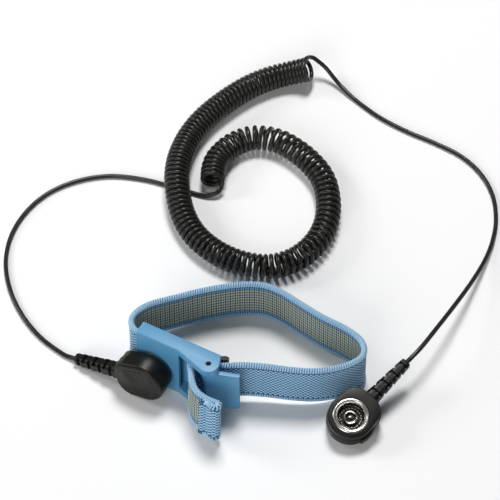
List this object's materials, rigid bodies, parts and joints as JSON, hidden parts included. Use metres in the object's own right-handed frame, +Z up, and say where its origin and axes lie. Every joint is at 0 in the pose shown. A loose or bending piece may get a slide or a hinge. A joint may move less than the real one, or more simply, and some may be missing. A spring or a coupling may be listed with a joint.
{
  "type": "esd wrist strap",
  "caption": "Elastic wrist strap with a cam buckle, a press-stud connector, a curly grounding cord laid in a spiral and a second snap connector for a ground point.",
  "frame": {"origin": "middle of the buckle's lower edge, on the surface that the strap stands on", "axes": "+Z up across the band, +X along the buckle to its lever end, +Y towards the wrist"},
  "size_m": [0.171, 0.1838, 0.0258],
  "materials": {
    "blue_plastic": "injection-moulded ABS, satin gloss",
    "black_plastic": "moulded PVC, satin",
    "steel": "bright rolled stainless steel",
    "nickel": "nickel-plated brass",
    "brass": "stamped brass",
    "elastic_band": "knitted elastic, blue outside and conductive grey-cream yarn inside",
    "cord_jacket": "extruded polyurethane jacket, semi-gloss",
    "resistor_lacquer": "lacquered resistor body"
  },
  "bodies": {
    "cord_set": {"wrist_boot": "black_plastic", "wrist_strain_relief": "black_plastic", "wrist_socket": "nickel", "wrist_eyelet": "nickel", "wrist_terminal": "brass", "safety_resistor": "resistor_lacquer", "wrist_crimp": "nickel", "wrist_lead": "cord_jacket", "curly_cord": "cord_jacket", "ground_lead": "cord_jacket", "ground_boot": "black_plastic", "ground_strain_relief": "black_plastic", "ground_socket": "nickel", "ground_snap_ring": "steel", "ground_eyelet": "nickel", "ground_terminal": "brass", "ground_crimp": "nickel"},
    "snap_ring": {"wrist_snap_ring": "steel"},
    "strap": {"buckle_frame": "blue_plastic", "cam_pin": "steel", "guide_bar": "black_plastic", "contact_plate": "steel", "press_stud": "nickel", "stud_rivet": "nickel", "anchor_pins": "steel", "wrist_band": "elastic_band", "band_hem": "elastic_band"},
    "lever": {"cam_lever": "blue_plastic"}
  },
  "joints": [
    {"name": "snap_swivel", "type": "hinge", "parent": "cord_set", "child": "snap_ring", "pos_m": [-0.0093, -0.00425, 0.0094], "axis": [0, 1, 0], "range_deg": [-112, 95]},
    {"name": "snap_pull", "type": "slide", "parent": "snap_ring", "child": "strap", "axis": [0, 1, 0], "range_m": [0, 0.005]},
    {"name": "cam_open", "type": "hinge", "parent": "strap", "child": "lever", "pos_m": [0.01415, -0.00275, 0.01275], "axis": [0, 0, -1], "range_deg": [0, 60]}
  ]
}
